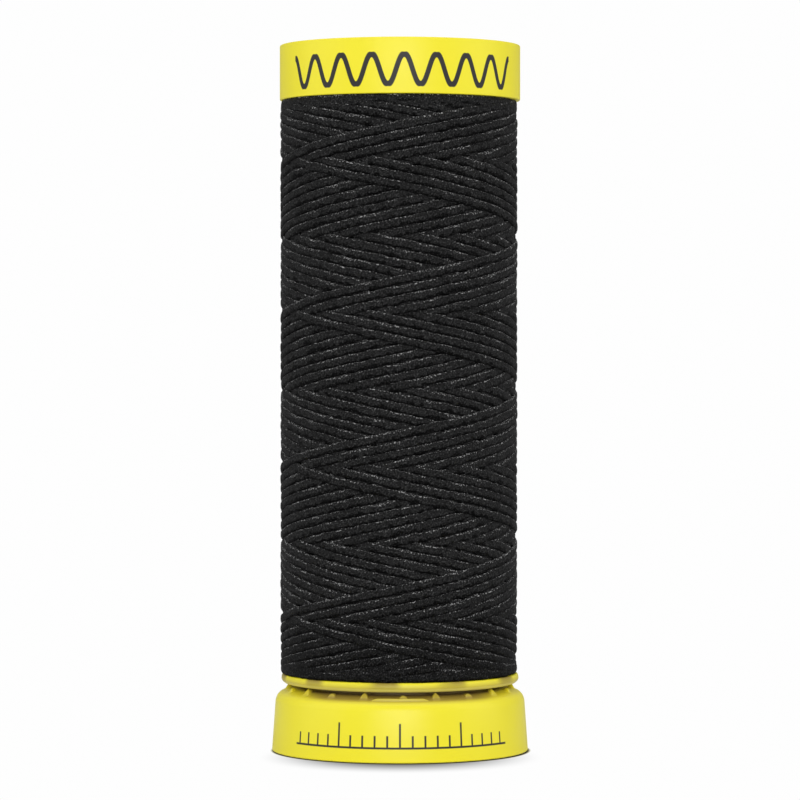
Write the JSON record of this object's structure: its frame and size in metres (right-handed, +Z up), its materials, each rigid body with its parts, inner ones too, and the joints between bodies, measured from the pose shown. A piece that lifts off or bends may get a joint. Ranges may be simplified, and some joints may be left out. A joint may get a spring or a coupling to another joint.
{
  "type": "reel of elastic",
  "caption": "Reel of thin covered elastic: a plastic tube with a head and a flange, cross-wound with elastic cord, on a toothed base that snaps shut over the loose end.",
  "frame": {"origin": "centre of the foot ring, on the surface that the reel stands on", "axes": "+Z up along the reel's axis; the side that the picture shows faces -Y; +X is to its right"},
  "size_m": [0.0204, 0.0204, 0.0561],
  "materials": {
    "reel_plastic": "satin-gloss moulded yellow plastic with a printed band on the head",
    "base_plastic": "satin-gloss moulded yellow plastic with a printed scale",
    "elastic": "matt black wrapped elastic cord with a fine crosswise crimp"
  },
  "bodies": {
    "reel": {"reel_body": "reel_plastic", "elastic_winding": "elastic"},
    "base": {"snap_base": "base_plastic"}
  },
  "joints": [
    {"name": "base_snap", "type": "slide", "parent": "reel", "child": "base", "axis": [0, 0, -1], "range_m": [0, 0.0012]}
  ]
}
